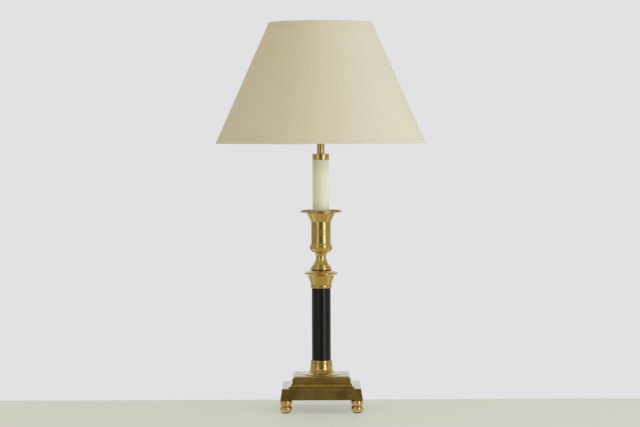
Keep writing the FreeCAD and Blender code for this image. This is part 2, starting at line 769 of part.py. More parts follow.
seat_washer_top = z_candle + d.seat_washer_thickness
keep(turned("seat_washer", ring_outline(bore, candle_bore - d.seat_gap, z_candle, seat_washer_top)))
hex_nut("pan_locknut", seat_washer_top)

keep(turned("candle_cap", [
    (bore, z_cap - d.spigot_length),
    (candle_bore - d.seat_gap, z_cap - d.spigot_length),
    (candle_bore - d.seat_gap, z_cap),
    (d.cap_radius - d.edge_round, z_cap),
    (d.cap_radius, z_cap + d.edge_round, QUARTER),
    (d.cap_radius, z_riser - d.edge_round),
    (d.cap_radius - d.edge_round, z_riser, QUARTER),
    (bore, z_riser),
]))

keep(turned("riser_tube", ring_outline(bore, d.riser_radius, z_riser, z_saddle)))

# ---------------------------------------------------------------- harp

tongue_outside = d.saddle_span / 2
tongue_inside = tongue_outside - d.saddle_thickness
leg_x = tongue_outside + d.seat_gap + d.harp_wire_radius
leg_outside = leg_x + d.harp_wire_radius
wire_z = z_seat - d.wire_depth
side_x = d.harp_width / 2
shoulder_z = wire_z - side_x
leg_top = shoulder_z - d.harp_curve

strap = part("Box", "saddle_strap", Length=tongue_outside * 2, Width=d.saddle_width,
             Height=d.saddle_thickness)
put(strap, x=-tongue_outside, y=-d.saddle_width / 2, z=z_saddle)
tongues = []
for name, x in (("left", -tongue_outside), ("right", tongue_inside)):
    tongue = part("Box", f"saddle_tongue_{name}", Length=d.saddle_thickness,
                  Width=d.tongue_width, Height=d.saddle_thickness + d.tongue_height)
    put(tongue, x=x, y=-d.tongue_width / 2, z=z_saddle)
    tongues.append(tongue)
saddle_hole = part("Cylinder", "saddle_hole", Radius=bore, Height=d.saddle_thickness)
put(saddle_hole, z=z_saddle)
keep(cut("harp_saddle", joined("saddle_bent", strap, *tongues), saddle_hole))

# Each side of the wire is an S of two like arcs between upright ends, and the top is round.
side_shift = side_x - leg_x
side_chord = (side_shift * side_shift + d.harp_curve * d.harp_curve).root()
side_bulge = (side_chord - d.harp_curve) / side_shift
half_x = (leg_x + side_x) / 2
half_z = (leg_top + shoulder_z) / 2
harp = doc.addObject("PartDesign::Body", "harp_wire")
harp_path = draw(plane_sketch(harp, "harp_path", "XZ_Plane"), [
    (leg_x, z_holder + d.seat_gap),
    (leg_x, leg_top),
    (half_x, half_z, -side_bulge),
    (side_x, shoulder_z, side_bulge),
    (0, wire_z, QUARTER),
    (-side_x, shoulder_z, QUARTER),
    (-half_x, half_z, side_bulge),
    (-leg_x, leg_top, -side_bulge),
    (-leg_x, z_holder + d.seat_gap),
], closed=False)
harp_section = circle_sketch(harp, "harp_section", "XY_Plane", leg_x, 0, d.harp_wire_radius)
bind(harp_section, **{"AttachmentOffset.Base.z": z_holder + d.seat_gap})
harp_pipe = harp.newObject("PartDesign::AdditivePipe", "harp_bending")
harp_pipe.Profile = harp_section
harp_pipe.Spine = harp_path
keep(harp)

# A ferrule goes round a tongue and a leg, with room for its travel.
ferrule_x = (tongue_inside + leg_outside) / 2
tongue_reach = ferrule_x - tongue_inside
tongue_half = d.tongue_width / 2
ferrule_bore = (tongue_reach * tongue_reach + tongue_half * tongue_half).root() + d.run_gap
for side, sign in (("left", -1), ("right", 1)):
    ferrule = turned(f"harp_ferrule_{side}", ring_outline(
        ferrule_bore, ferrule_bore + d.ferrule_wall, z_holder, z_holder + d.ferrule_length))
    put(ferrule, x=ferrule_x * sign)
    keep(ferrule)

block_blank = part("Cylinder", "harp_block_blank", Radius=d.block_radius, Height=d.block_depth)
put(block_blank, z=z_seat - d.block_depth)
wire_hole = part("Cylinder", "harp_block_wire_hole", Radius=d.harp_wire_radius + d.seat_gap * 2,
                 Height=d.block_radius * 4)
wire_hole.Placement.Rotation = FreeCAD.Rotation(FreeCAD.Vector(0, 1, 0), 90)
put(wire_hole, x=-d.block_radius * 2, z=wire_z)
stud_seat = wire_z + d.harp_wire_radius + d.seat_gap * 3
stud_hole = part("Cylinder", "harp_block_stud_hole", Radius=d.harp_stud_radius + d.seat_gap,
                 Height=z_seat - stud_seat)
put(stud_hole, z=stud_seat)
keep(cut("harp_block", block_blank, wire_hole, stud_hole))
keep(turned("harp_stud", [
    (0, stud_seat),
    (d.harp_stud_radius, stud_seat),
    (d.harp_stud_radius, z_seat + d.harp_stud_length - d.edge_round),
    (d.harp_stud_radius - d.edge_round, z_seat + d.harp_stud_length),
    (0, z_seat + d.harp_stud_length),
]))

# ---------------------------------------------------------------- finial

finial_z = z_seat + d.hub_thickness
finial_top = finial_z + d.finial_height
finial_bore = d.harp_stud_radius + d.run_gap
finial_hole = z_seat + d.harp_stud_length + d.run_gap * 3
finial_foot_top = finial_z + d.finial_foot_height
ball_foot = finial_foot_top + d.finial_neck_height
ball_top = ball_foot + d.finial_ball_height
keep(turned("finial", [
    (finial_bore, finial_z),
    (d.finial_foot_radius, finial_z),
    (d.finial_foot_radius, finial_foot_top, HALF),
    (d.finial_neck_radius, ball_foot, -0.35),
    (d.finial_ball_radius, (ball_foot + ball_top) / 2, 0.2),
    (d.finial_tip_radius, ball_top, 0.38),
    (0, finial_top, dome(d.finial_tip_radius, finial_top - ball_top)),
    (0, finial_hole),
    (finial_bore, finial_hole),
]))

# ---------------------------------------------------------------- lampholder

cap_top = z_holder + d.holder_cap_height
cap_outside = d.holder_radius + d.seat_gap + d.holder_cap_wall
cap_inside = d.holder_radius + d.seat_gap
hub_top = z_holder + d.holder_hub_height
dome_top = z_holder + d.insulator_lift + d.holder_cap_wall
hub_bore = d.rod_radius + d.seat_gap
cap_shell = turned("holder_cap_shell", [
    (hub_bore, z_holder),
    (d.holder_hub_radius, z_holder),
    (d.holder_hub_radius, hub_top - d.holder_cap_wall),
    (cap_outside, dome_top, 0.3),
    (cap_outside, cap_top),
    (cap_inside, cap_top),
    (cap_inside, dome_top),
    (d.holder_hub_radius - d.holder_cap_wall, hub_top, -0.3),
    (hub_bore, hub_top),
])
set_screw_z = z_holder + d.holder_hub_height / 2 - d.holder_cap_wall / 2


def crosswise(name, radius, start, end, height):
    """Cylinder along Y, from start to end."""
    bar = part("Cylinder", name, Radius=radius, Height=end - start)
    bar.Placement.Rotation = FreeCAD.Rotation(FreeCAD.Vector(1, 0, 0), -90)
    put(bar, y=start, z=height)
    return bar


screw_hole = crosswise("set_screw_hole", d.set_screw_radius + d.seat_gap, as_size(0),
                       d.holder_hub_radius * 2, set_screw_z)
keep(cut("holder_cap", cap_shell, screw_hole))
keep(crosswise("holder_set_screw", d.set_screw_radius, d.rod_radius + d.seat_gap,
               d.holder_hub_radius + d.edge_round, set_screw_z))

shell_bottom = cap_top - d.holder_overlap
shell_top = shell_bottom + d.holder_length
shell_inside = d.holder_radius - d.holder_wall
shaft_z = z_holder + d.switch_rise
shaft_hole = d.switch_shaft_radius + d.run_gap
shell_wall = turned("holder_shell_wall", [
    (shell_inside, shell_bottom),
    (d.holder_radius, shell_bottom),
    (d.holder_radius, shell_top - d.edge_round),
    (d.holder_radius - d.edge_round, shell_top, QUARTER),
    (d.screw_shell_radius + d.edge_round, shell_top),
    (d.screw_shell_radius + d.edge_round, shell_top - d.holder_wall),
    (shell_inside, shell_top - d.holder_wall),
])
shell_hole = crosswise("holder_shell_hole", shaft_hole, -d.holder_radius * 2, as_size(0), shaft_z)
keep(cut("holder_shell", shell_wall, shell_hole))

liner_outside = shell_inside - d.seat_gap
liner_inside = liner_outside - d.liner_wall
liner_sleeve = turned("holder_liner_sleeve", ring_outline(
    liner_inside, liner_outside, shell_bottom, shell_top - d.holder_wall - d.seat_gap))
liner_hole = crosswise("holder_liner_hole", shaft_hole, -d.holder_radius * 2, as_size(0), shaft_z)
keep(cut("holder_liner", liner_sleeve, liner_hole))

body_z = z_holder + d.insulator_lift
body_top = body_z + d.insulator_height
body_blank = part("Cylinder", "insulator_blank", Radius=d.insulator_radius,
                  Height=d.insulator_height)
put(body_blank, z=body_z)
body_hole = crosswise("insulator_shaft_hole", shaft_hole, -d.insulator_radius * 2,
                      -d.insulator_radius / 2, shaft_z)
flat_height = d.terminal_radius * 3
flats = []
for name, x in (("left", -d.insulator_radius), ("right", d.terminal_flat)):
    flat = part("Box", f"terminal_flat_{name}", Length=d.insulator_radius - d.terminal_flat,
                Width=d.insulator_radius * 2, Height=flat_height)
    put(flat, x=x, y=-d.insulator_radius, z=shaft_z - flat_height / 2)
    flats.append(flat)
keep(cut("switch_body", body_blank, body_hole, *flats))

heads = []
for name, x in (("left", -d.terminal_flat - d.terminal_head), ("right", d.terminal_flat)):
    head = part("Cylinder", f"terminal_{name}", Radius=d.terminal_radius, Height=d.terminal_head)
    head.Placement.Rotation = FreeCAD.Rotation(FreeCAD.Vector(0, 1, 0), 90)
    put(head, x=x, z=shaft_z)
    heads.append(head)
terminal_screws = doc.addObject("Part::Compound", "terminal_screws")
terminal_screws.Links = heads
keep(terminal_screws)

sleeve_inside = d.screw_shell_radius - d.screw_shell_wall
sleeve_top = body_top + d.screw_shell_height
keep(turned("screw_shell", [
    (sleeve_inside, body_top),
    (d.screw_shell_radius, body_top),
    (d.screw_shell_radius, sleeve_top),
    (sleeve_inside, sleeve_top),
]))
contact = part("Box", "centre_contact", Length=d.contact_length, Width=d.contact_width,
               Height=d.contact_thickness)
put(contact, x=-d.contact_length / 2, y=-d.contact_width / 2, z=body_top)
keep(contact)

# Knob and shaft of the switch are made about +Z and laid along -Y.
knob_start = d.switch_reach - d.switch_knob_length
shaft_start = d.insulator_radius / 2 + d.run_gap


def lay_forward(thing):
    thing.Placement.Rotation = FreeCAD.Rotation(FreeCAD.Vector(1, 0, 0), 90)
    put(thing, z=shaft_z)
    return keep(thing)


lay_forward(turned("switch_shaft", [
    (0, shaft_start),
    (d.switch_shaft_radius, shaft_start),
    (d.switch_shaft_radius, d.switch_reach - d.switch_knob_length / 3),
    (0, d.switch_reach - d.switch_knob_length / 3),
]))
knob = doc.addObject("PartDesign::Body", "switch_knob")
knob_bore = d.switch_shaft_radius + d.seat_gap
knob_hole = d.switch_reach - d.switch_knob_length / 3 + d.seat_gap
turn(knob, "switch_knob", [
    (knob_bore, knob_start),
    (d.switch_knob_radius - d.edge_round, knob_start),
    (d.switch_knob_radius, knob_start + d.edge_round, QUARTER),
    (d.switch_knob_radius, d.switch_reach - d.edge_round * 2),
    (d.switch_knob_radius - d.edge_round * 2, d.switch_reach, QUARTER),
    (0, d.switch_reach),
    (0, knob_hole),
    (knob_bore, knob_hole),
])
flute_sketch = circle_sketch(knob, "switch_flute_outline", "XY_Plane",
                             d.switch_knob_radius + d.switch_flute_radius / 2, 0,
                             d.switch_flute_radius)
flute = knob.newObject("PartDesign::Pocket", "switch_flute")
flute.Profile = flute_sketch
flute.Reversed = True
bind(flute, Length=d.switch_reach * 2)
flutes = knob.newObject("PartDesign::PolarPattern", "switch_flutes")
flutes.Originals = [flute]
flutes.Axis = (flute_sketch, ["N_Axis"])
flutes.Angle = 360
flutes.Occurrences = FLUTES
knob.Tip = flutes
lay_forward(knob)

# ---------------------------------------------------------------- bulb

tip_z = body_top + d.contact_thickness + d.run_gap
tip_top = tip_z + d.bulb_tip_height
bulb_cap_z = tip_top + d.bulb_foot_height
bulb_cap_top = bulb_cap_z + d.bulb_cap_height
keep(turned("bulb_tip", [
    (0, tip_z),
    (d.bulb_tip_radius, tip_top, dome(d.bulb_tip_radius, d.bulb_tip_height)),
    (0, tip_top),
]))
keep(turned("bulb_foot", [
    (0, tip_top),
    (d.bulb_tip_radius, tip_top),
    (d.thread_radius - d.thread_depth * 2, bulb_cap_z),
    (0, bulb_cap_z),
]))
valley = d.thread_radius - d.thread_depth
thread = [(valley, bulb_cap_z)]
for number in range(THREAD_TURNS):
    start = bulb_cap_z + d.thread_pitch * number
    thread.append((d.thread_radius, start + d.thread_pitch / 4, 0.3))
    thread.append((d.thread_radius, start + d.thread_pitch * 3 / 4, 0.3))
    thread.append((valley, start + d.thread_pitch, 0.3))
keep(turned("bulb_screw_cap", [
    *thread,
    (valley, bulb_cap_top),
    (valley - d.glass_wall, bulb_cap_top),
    (valley - d.glass_wall, bulb_cap_z + d.glass_wall),
    (0, bulb_cap_z + d.glass_wall),
    (0, bulb_cap_z),
]))

# Pear-shaped glass: a neck, a flank that swells out of it and a round head.
neck_radius = valley
head_z = bulb_cap_top + d.bulb_glass_height - d.bulb_radius
glass_top = bulb_cap_top + d.bulb_glass_height
flank_z = bulb_cap_top + (head_z - bulb_cap_top) * 0.42
flank_radius = neck_radius + (d.bulb_radius - neck_radius) * 0.42


def pear(inset):
    return [
        (neck_radius - inset, bulb_cap_top),
        (flank_radius - inset, flank_z, -0.16),
        (d.bulb_radius - inset, head_z, 0.2),
        (0, glass_top - inset, QUARTER),
    ]


inner_pear = pear(d.glass_wall)
keep(turned("bulb_glass", [
    *pear(as_size(0)),
    (0, inner_pear[3][1]),
    (inner_pear[2][0], inner_pear[2][1], -QUARTER),
    (inner_pear[1][0], inner_pear[1][1], -0.2),
    (inner_pear[0][0], inner_pear[0][1], 0.16),
]))
stem_inside = valley - d.glass_wall - d.seat_gap
keep(turned("bulb_stem", [
    (0, bulb_cap_top - d.glass_wall),
    (stem_inside, bulb_cap_top - d.glass_wall),
    (stem_inside, bulb_cap_top),
    (d.stem_radius, bulb_cap_top + d.stem_radius * 2, -0.3),
    (d.stem_radius, bulb_cap_top + d.stem_height - d.stem_radius),
    (0, bulb_cap_top + d.stem_height, QUARTER),
]))

# ---------------------------------------------------------------- shade

shade_slope = (d.shade_bottom_radius - d.shade_top_radius) / d.shade_height
slope_stretch = (as_size(1) + shade_slope * shade_slope).root()


def skin(height, inset):
    """Radius of the shade at a height, at a level distance inside its fabric."""
    return d.shade_top_radius + (z_shade_top - height) * shade_slope - inset


panel_bottom = z_shade_bottom + d.trim_thickness
panel_top = z_shade_top - d.trim_thickness
panel_inside = d.fabric_thickness + d.backing_thickness


def cone_layer(name, outer, inner):
    return keep(turned(name, [
        (skin(panel_bottom, outer), panel_bottom),
        (skin(panel_top, outer), panel_top),
        (skin(panel_top, inner), panel_top),
        (skin(panel_bottom, inner), panel_bottom),
    ]))


cone_layer("shade_fabric", as_size(0), d.fabric_thickness)
cone_layer("shade_backing", d.fabric_thickness, panel_inside)

# The lower wire lies in the corner of the panel and its edging, which is folded round both.
lower_wire_z = panel_bottom + d.ring_wire_radius
lower_wire = skin(lower_wire_z, panel_inside) - d.ring_wire_radius * slope_stretch
fold_inside = lower_wire - d.ring_wire_radius - d.seat_gap
fold_top = panel_bottom + d.ring_wire_radius * 2 + d.seat_gap
hem_top = z_shade_bottom + d.trim_width
keep(turned("shade_bottom_trim", [
    (skin(hem_top, -d.trim_thickness), hem_top),
    (skin(hem_top, as_size(0)), hem_top),
    (skin(panel_bottom, as_size(0)), panel_bottom),
    (fold_inside, panel_bottom),
    (fold_inside, fold_top),
    (skin(fold_top, panel_inside), fold_top),
    (skin(fold_top + d.trim_thickness, panel_inside), fold_top + d.trim_thickness),
    (fold_inside - d.trim_thickness, fold_top + d.trim_thickness),
    (fold_inside - d.trim_thickness, z_shade_bottom),
    (skin(z_shade_bottom, -d.trim_thickness), z_shade_bottom),
]))
lower_ring = part("Torus", "shade_bottom_ring", Radius1=lower_wire - d.seat_gap / 2,
                  Radius2=d.ring_wire_radius)
put(lower_ring, z=lower_wire_z + d.seat_gap / 2)
keep(lower_ring)

band_bottom = z_shade_top - d.trim_width
keep(turned("shade_top_trim", [
    (skin(band_bottom, as_size(0)), band_bottom),
    (skin(band_bottom, -d.trim_thickness), band_bottom),
    (skin(z_shade_top, -d.trim_thickness), z_shade_top),
    (skin(z_shade_top, panel_inside), z_shade_top),
    (skin(panel_top, panel_inside), panel_top),
    (skin(panel_top, as_size(0)), panel_top),
]))

# The fitter is one welded piece: a washer, three arms that turn up, and the upper ring.
fitter = doc.addObject("PartDesign::Body", "shade_fitter")
turn(fitter, "fitter_hub", ring_outline(d.harp_stud_radius + d.run_gap, d.hub_radius, z_seat,
                                        z_seat + d.hub_thickness))
arm_z = z_seat + d.arm_wire_radius
arm_start = d.hub_radius - d.arm_wire_radius
upper_wire_z = z_shade_top - d.ring_wire_radius - d.seat_gap
upper_wire = skin(upper_wire_z, panel_inside) - d.ring_wire_radius * slope_stretch - d.seat_gap
arm_path = draw(plane_sketch(fitter, "arm_path", "XZ_Plane"), [
    (arm_start, arm_z),
    (upper_wire - d.arm_bend, arm_z),
    (upper_wire, arm_z + d.arm_bend, QUARTER),
    (upper_wire, upper_wire_z),
], closed=False)
arm_section = circle_sketch(fitter, "arm_section", "YZ_Plane", 0, arm_z, d.arm_wire_radius)
bind(arm_section, **{"AttachmentOffset.Base.z": arm_start})
arm = fitter.newObject("PartDesign::AdditivePipe", "arm_bending")
arm.Profile = arm_section
arm.Spine = arm_path
arms = fitter.newObject("PartDesign::PolarPattern", "arms")
arms.Originals = [arm]
arms.Axis = (next(item for item in fitter.Origin.OriginFeatures if item.Role == "Z_Axis"), [""])
arms.Angle = 360
arms.Occurrences = ARMS
fitter.Tip = arms
ring_section = circle_sketch(fitter, "ring_section", "XZ_Plane", upper_wire, upper_wire_z,
                             d.ring_wire_radius)
ring = fitter.newObject("PartDesign::Revolution", "upper_ring")
ring.Profile = ring_section
ring.ReferenceAxis = (ring_section, ["V_Axis"])
ring.Angle = 360
fitter.Tip = ring
keep(fitter)

# ---------------------------------------------------------------- check and write

doc.recompute()
for thing in doc.Objects:
    trouble = [state for state in thing.State if state in ("Invalid", "Error")]
    if trouble:
        raise RuntimeError(f"{thing.Name} is {trouble}: {thing.getStatusString()}")
for node in nodes:
    if node.Shape.isNull() or not node.Shape.isValid() or not node.Shape.Solids:
        raise RuntimeError(f"{node.Label} has no sound solid")

for node in nodes:
    node.Shape.exportStep(f"parts/{node.Label}.step")
    print(node.Label, len(node.Shape.Solids), round(node.Shape.Volume, 1))
print("pieces", len(nodes))
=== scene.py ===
import math

import bpy
from mathutils import Matrix, Vector


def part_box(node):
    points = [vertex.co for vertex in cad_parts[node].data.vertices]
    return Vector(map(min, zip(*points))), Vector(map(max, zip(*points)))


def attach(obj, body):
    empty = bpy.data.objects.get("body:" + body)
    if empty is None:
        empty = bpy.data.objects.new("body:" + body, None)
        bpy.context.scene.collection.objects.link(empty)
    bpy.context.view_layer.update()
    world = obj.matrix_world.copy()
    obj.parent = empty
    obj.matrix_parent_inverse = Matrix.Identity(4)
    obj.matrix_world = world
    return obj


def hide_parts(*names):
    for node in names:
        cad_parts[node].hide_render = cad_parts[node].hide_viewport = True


# The candlestick lamp's looks round its CAD frame. Metres, +Z up, front towards -Y.

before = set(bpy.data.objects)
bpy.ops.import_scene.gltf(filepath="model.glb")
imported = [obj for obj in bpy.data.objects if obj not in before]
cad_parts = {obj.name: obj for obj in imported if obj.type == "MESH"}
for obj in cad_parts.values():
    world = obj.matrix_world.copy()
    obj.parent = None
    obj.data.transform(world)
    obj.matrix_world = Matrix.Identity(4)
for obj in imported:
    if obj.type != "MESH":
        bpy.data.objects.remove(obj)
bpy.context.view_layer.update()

# ---------------------------------------------------------------- node trees


class Look:
    """One material and short hands for the nodes in it."""

    def __init__(self, name, **settings):
        self.material = bpy.data.materials.new(name)
        self.material.use_nodes = True
        self.tree = self.material.node_tree
        self.shader = self.tree.nodes["Principled BSDF"]
        self.set(**settings)

    def set(self, **settings):
        """Set sockets of the shader: a number or colour, or the output of another node."""
        for name, value in settings.items():
            self.feed(self.shader.inputs[name.replace("_", " ")], value)

    def feed(self, socket, value):
        if isinstance(value, bpy.types.NodeSocket):
            self.tree.links.new(value, socket)
        elif isinstance(value, (tuple, list)) and len(value) == 3 and socket.type == "RGBA":
            socket.default_value = (*value, 1.0)
        else:
            socket.default_value = value

    def add(self, kind, *values, **settings):
        node = self.tree.nodes.new(f"ShaderNode{kind}")
        for name, value in settings.items():
            setattr(node, name, value)
        for socket, value in zip(node.inputs, values):
            if value is not None:
                self.feed(socket, value)
        return node

    def place(self, source="Object", stretch=(1, 1, 1)):
        """Where a point of the surface is, in metres, with each direction stretched."""
        spot = self.add("TexCoord").outputs[source]
        if stretch == (1, 1, 1):
            return spot
        return self.add("VectorMath", spot, stretch, operation="MULTIPLY").outputs[0]

    def noise(self, scale, detail=3.0, source="Object", stretch=(1, 1, 1)):
        node = self.add("TexNoise")
        self.feed(node.inputs["Vector"], self.place(source, stretch))
        self.feed(node.inputs["Scale"], scale)
        self.feed(node.inputs["Detail"], detail)
        return node.outputs["Fac"]

    def spread(self, value, low, high, to_low=0.0, to_high=1.0):
        """Map the range from low to high smoothly to another one."""
        node = self.add("MapRange", value, low, high, to_low, to_high,
                        interpolation_type="SMOOTHSTEP")
        return node.outputs[0]

    def math(self, operation, first, second=0.0):
        return self.add("Math", first, second, operation=operation).outputs[0]

    def blend(self, share, first, second):
        node = self.add("Mix", data_type="RGBA")
        for name, value in (("Factor_Float", share), ("A_Color", first), ("B_Color", second)):
            self.feed(next(s for s in node.inputs if s.identifier == name), value)
        return next(s for s in node.outputs if s.identifier == "Result_Color")

    def bump(self, height, depth, strength=1.0):
        node = self.add("Bump")
        self.feed(node.inputs["Height"], height)
        self.feed(node.inputs["Distance"], depth)
        self.feed(node.inputs["Strength"], strength)
        self.set(Normal=node.outputs[0])
        return self

    def hollows(self, reach):
        """1 in corners and grooves within reach, 0 on open surfaces."""
        node = self.add("AmbientOcclusion")
        self.feed(node.inputs["Distance"], reach)
        return self.spread(node.outputs["AO"], 0.85, 0.35)


# ---------------------------------------------------------------- materials


def brass(name, bright, deep, turned=True, dull=0.0, tarnish=0.0):
    """Old lacquered brass: brown in the corners, turned lines, soft wear. Tarnish lies on the
    faces that look up."""
    look = Look(name, Metallic=1.0, Coat_Weight=0.8, Coat_Roughness=0.1)
    cloud = look.spread(look.noise(26.0, 2.0), 0.34, 0.68)
    tone = look.blend(cloud, bright, deep)
    specks = look.spread(look.noise(950.0, 3.0), 0.62, 0.76, 0.0, 0.2)
    tone = look.blend(specks, tone, tuple(part * 0.72 for part in deep))
    corner = look.hollows(0.004)
    tone = look.blend(corner, tone, (0.20, 0.11, 0.03))
    rough = look.spread(look.noise(40.0, 1.0), 0.3, 0.7, 0.20 + dull, 0.25 + dull)
    rough = look.math("ADD", rough, look.math("MULTIPLY", corner, 0.2))
    if tarnish:
        level = look.add("SeparateXYZ", look.add("TexCoord").outputs["Normal"]).outputs["Z"]
        level = look.spread(level, 0.7, 0.98, 0.0, tarnish)
        tone = look.blend(level, tone, (0.34, 0.245, 0.085))
        rough = look.math("ADD", rough, look.math("MULTIPLY", level, 0.15))
    look.set(Base_Color=tone, Roughness=rough)
    if turned:
        lines = look.noise(1.0, 2.0, stretch=(4, 4, 1100))
        look.bump(lines, 0.000008, 0.25)
    else:
        look.bump(look.noise(310.0, 5.0), 0.00004, 0.3)
    return look.material


def enamel():
    look = Look("black_enamel", IOR=1.46)
    tone = look.blend(look.noise(55.0), (0.0025, 0.003, 0.0025), (0.006, 0.006, 0.005))
    dust = look.spread(look.noise(900.0, 4.0), 0.66, 0.78, 0.0, 0.15)
    look.set(Base_Color=look.blend(dust, tone, (0.04, 0.038, 0.035)),
             Roughness=look.spread(look.noise(90.0), 0.3, 0.7, 0.24, 0.30))
    return look.bump(look.noise(160.0, 1.0), 0.00003, 0.25).material


def ivory():
    """Candle sleeve: faint upright streaks, yellower and darker towards its upper end: partly
    heat-yellowing, partly painted shade from the lamp shade above.
    """
    look = Look("ivory", IOR=1.46, Subsurface_Weight=0.25, Subsurface_Scale=0.004,
                Subsurface_Radius=(1.0, 0.7, 0.4))
    streaks = look.noise(1.0, 4.0, stretch=(420, 420, 9))
    tone = look.blend(look.spread(streaks, 0.3, 0.7), (0.85, 0.805, 0.665), (0.80, 0.75, 0.60))
    height = look.add("SeparateXYZ", look.place()).outputs["Z"]
    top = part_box("candle_sleeve")[1].z
    # Yellower and darker within 3 cm of the top: heat-yellowing plus painted shade under the lamp
    # shade.
    heat_and_shade = look.spread(height, top - 0.03, top, 0.0, 0.45)
    look.set(Base_Color=look.blend(heat_and_shade, tone, (0.62, 0.54, 0.36)),
             Roughness=look.spread(look.noise(120.0), 0.3, 0.7, 0.36, 0.5))
    return look.bump(streaks, 0.00004, 0.4).material


def woven(name, light, dark, threads=3900.0):
    """Fine plain weave on the flat cut's own coordinates, with slubs along both threads."""
    look = Look(name, Roughness=0.8, IOR=1.38, Sheen_Weight=0.12, Sheen_Roughness=0.42,
                Sheen_Tint=(1.0, 0.98, 0.93))
    split = look.add("SeparateXYZ", look.place("UV"))
    warp = look.math("SINE", look.math("MULTIPLY", split.outputs["X"], threads * math.pi))
    weft = look.math("SINE", look.math("MULTIPLY", split.outputs["Y"], threads * math.pi))
    weave = look.spread(look.math("MULTIPLY", warp, weft), -1.0, 1.0)
    upright = look.noise(1.0, 4.0, "UV", (480, 7, 1))
    level = look.noise(1.0, 4.0, "UV", (6, 620, 1))
    slubs = look.spread(look.math("ADD", upright, level), 0.75, 1.25)
    tone = look.blend(slubs, dark, light)
    cloud = look.spread(look.noise(9.0, 2.0), 0.3, 0.7, 0.0, 0.3)
    tone = look.blend(cloud, tone, tuple(part * 0.97 for part in light))
    gaps = look.math("MULTIPLY", look.math("SUBTRACT", 1.0, weave), 0.02)
    look.set(Base_Color=look.blend(gaps, tone, tuple(part * 0.6 for part in dark)))
    height = look.math("ADD", weave, look.math("MULTIPLY", slubs, 0.8))
    return look.bump(height, 0.00001, 0.25).material


def backing():
    look = Look("shade_liner", IOR=1.48, Subsurface_Weight=0.1, Subsurface_Scale=0.003)
    cloud = look.spread(look.noise(30.0), 0.3, 0.7)
    tone = look.blend(cloud, (0.76, 0.745, 0.69), (0.70, 0.68, 0.61))
    look.set(Base_Color=tone, Roughness=look.spread(look.noise(200.0), 0.3, 0.7, 0.45, 0.6))
    return look.bump(look.noise(800.0, 4.0), 0.00006, 0.35).material


def painted(name, light, dark):
    """Sprayed paint, darker in corners and where two pieces meet."""
    look = Look(name, IOR=1.5)
    tone = look.blend(look.spread(look.noise(160.0, 4.0), 0.3, 0.7), light, dark)
    corner_darkening = look.math("MULTIPLY", look.hollows(0.004), 0.6)
    look.set(Base_Color=look.blend(corner_darkening, tone, tuple(part * 0.35 for part in dark)),
             Roughness=look.spread(look.noise(300.0), 0.3, 0.7, 0.3, 0.45))
    return look.bump(look.noise(1200.0, 2.0), 0.00004, 0.4).material


def metal(name, light, dark, rough, grain=(1, 1, 1)):
    look = Look(name, Metallic=1.0)
    tone = look.blend(look.spread(look.noise(130.0, 5.0), 0.3, 0.7), light, dark)
    look.set(Base_Color=tone,
             Roughness=look.spread(look.noise(260.0, 4.0), 0.3, 0.7, rough, rough + 0.16))
    return look.bump(look.noise(600.0, 4.0, stretch=grain), 0.00006, 0.4).material


def fibres(name, light, dark, grain, depth=0.0001):
    """Pressed board or paper."""
    look = Look(name, Roughness=0.82, IOR=1.45)
    threads = look.noise(1.0, 6.0, stretch=grain)
    specks = look.spread(look.noise(1100.0, 3.0), 0.58, 0.7, 0.0, 0.5)
    tone = look.blend(look.spread(threads, 0.35, 0.65), light, dark)
    look.set(Base_Color=look.blend(specks, tone, tuple(part * 0.55 for part in dark)))
    return look.bump(threads, depth, 0.5).material


def phenolic():
    look = Look("black_phenolic", IOR=1.55)
    tone = look.blend(look.noise(240.0, 5.0), (0.010, 0.009, 0.008), (0.028, 0.024, 0.021))
    look.set(Base_Color=tone, Roughness=look.spread(look.noise(350.0), 0.3, 0.7, 0.26, 0.42))
    return look.bump(look.noise(1500.0, 2.0), 0.00003, 0.4).material


def opal():
    """White-coated bulb glass."""
    look = Look("opal_glass", IOR=1.5, Coat_Weight=0.6, Coat_Roughness=0.05,
                Subsurface_Weight=0.3, Subsurface_Scale=0.01)
    cloud = look.spread(look.noise(45.0), 0.3, 0.7)
    tone = look.blend(cloud, (0.84, 0.84, 0.80), (0.79, 0.785, 0.74))
    look.set(Base_Color=tone, Roughness=look.spread(look.noise(900.0), 0.3, 0.7, 0.28, 0.4))
    return look.bump(look.noise(2500.0, 2.0), 0.00002, 0.3).material


brass_turned = brass("brass_turned", (0.80, 0.605, 0.225), (0.70, 0.50, 0.165))
brass_cast = brass("brass_cast", (0.76, 0.575, 0.20), (0.58, 0.395, 0.10),
                   turned=False, dull=0.05, tarnish=0.35)
brass_plate = brass("brass_plate", (0.76, 0.575, 0.21), (0.62, 0.425, 0.105),
                    turned=False, dull=0.03, tarnish=0.9)
# The feet's more coppery tone is painted warm light from the room on the left.
brass_feet_painted_warmth = brass("brass_feet_painted_warmth", (0.80, 0.575, 0.25), (0.68, 0.455, 0.17))
brass_pan = brass("brass_pan", (0.66, 0.50, 0.19), (0.52, 0.39, 0.14), dull=0.08)
brass_sheet = brass("brass_sheet", (0.80, 0.61, 0.25), (0.70, 0.51, 0.19), turned=False)

